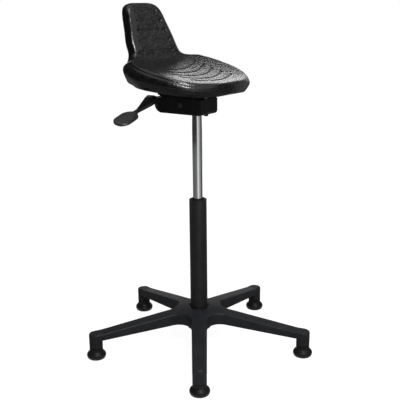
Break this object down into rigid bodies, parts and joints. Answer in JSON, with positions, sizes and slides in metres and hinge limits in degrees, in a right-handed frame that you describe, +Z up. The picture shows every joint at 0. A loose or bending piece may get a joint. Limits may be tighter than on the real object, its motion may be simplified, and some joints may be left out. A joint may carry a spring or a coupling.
{
  "type": "perch stool",
  "caption": "Sit-stand perch stool: dished seat with a low backrest on a height-adjustable gas column, tilt mechanism with release lever, star base on round glides.",
  "frame": {"origin": "on the floor, under the axis of the column, at the centre of the circle of glides", "axes": "+Z up along the column; the seat faces -Y and the backrest is on the +Y side; the release lever is on the -X side, the sitter's right"},
  "size_m": [0.6108, 0.6396, 0.9828],
  "materials": {
    "base_nylon": "fine-textured moulded nylon, charcoal black",
    "glide_plastic": "smooth moulded nylon, black, worn underneath",
    "tube_paint": "satin black powder coat on steel tube",
    "mechanism_paint": "satin black powder coat on pressed steel",
    "chrome": "polished chrome on ground steel tube",
    "black_steel": "black oxide and oil on steel",
    "zinc_steel": "bright zinc plate",
    "bearing_steel": "ground and oiled steel",
    "bush_plastic": "black acetal, machined smooth",
    "seal_rubber": "moulded black rubber",
    "valve_brass": "turned brass",
    "lever_plastic": "semi-gloss moulded black plastic",
    "plywood": "birch plywood, unvarnished",
    "cushion_skin": "black polyurethane foam with a grained integral skin"
  },
  "bodies": {
    "base": {"base_star": "base_nylon", "glide_1": "glide_plastic", "glide_2": "glide_plastic", "glide_3": "glide_plastic", "glide_4": "glide_plastic", "glide_5": "glide_plastic", "glide_stems": "zinc_steel", "stem_grip_rings": "zinc_steel", "outer_tube": "tube_paint", "hub_ring": "tube_paint", "guide_bush": "bush_plastic", "thrust_washer_low": "bearing_steel"},
    "spindle": {"thrust_washer_high": "bearing_steel", "ball_cage": "bush_plastic", "thrust_balls": "bearing_steel", "piston_rod": "bearing_steel", "gas_piston": "bush_plastic", "rod_washer": "zinc_steel", "rod_clip": "zinc_steel", "bump_stop": "seal_rubber"},
    "column": {"pressure_tube": "chrome", "rod_guide": "bush_plastic", "rod_seal": "seal_rubber", "valve_body": "valve_brass", "mechanism_pan": "mechanism_paint", "taper_socket": "mechanism_paint", "pivot_pin": "black_steel", "pivot_ring": "zinc_steel", "rear_tie_pin": "black_steel", "lever_bush": "bush_plastic", "tension_bolt": "black_steel", "tension_washer": "zinc_steel", "tension_nut": "zinc_steel", "tilt_spring": "bearing_steel"},
    "release_valve": {"release_pin": "bearing_steel"},
    "lever": {"lever_blade": "black_steel", "lever_grip": "lever_plastic"},
    "seat": {"seat_plate": "mechanism_paint", "pivot_bushes": "bush_plastic", "seat_board": "plywood", "seat_screws": "zinc_steel", "screw_washers": "zinc_steel", "t_nuts": "zinc_steel", "seat_shell": "cushion_skin"}
  },
  "joints": [
    {"name": "seat_swivel", "type": "hinge", "parent": "base", "child": "spindle", "pos_m": [0, 0, 0.06], "axis": [0, 0, 1], "continuous": true},
    {"name": "seat_height", "type": "slide", "parent": "spindle", "child": "column", "axis": [0, 0, 1], "range_m": [-0.22, 0]},
    {"name": "seat_tilt", "type": "hinge", "parent": "column", "child": "seat", "pos_m": [0, 0.026, 0.71], "axis": [1, 0, 0], "range_deg": [0, 8], "stiffness_Nm_per_rad": 180, "springref_deg": -6.88, "deforming": ["tilt_spring"]},
    {"name": "lever_lift", "type": "hinge", "parent": "column", "child": "lever", "pos_m": [-0.03825, 0.106, 0.7215], "axis": [0, 1, 0], "range_deg": [0, 4.5], "stiffness_Nm_per_rad": 12, "springref_deg": -1.72},
    {"name": "release_pin_press", "type": "slide", "parent": "column", "child": "release_valve", "axis": [0, 0, -1], "range_m": [0, 0.0034], "stiffness_N_per_m": 1500, "springref_m": -0.001}
  ],
  "couplings": [
    {"joint": "release_pin_press", "follows": "lever_lift", "m_per_rad": 0.042}
  ]
}
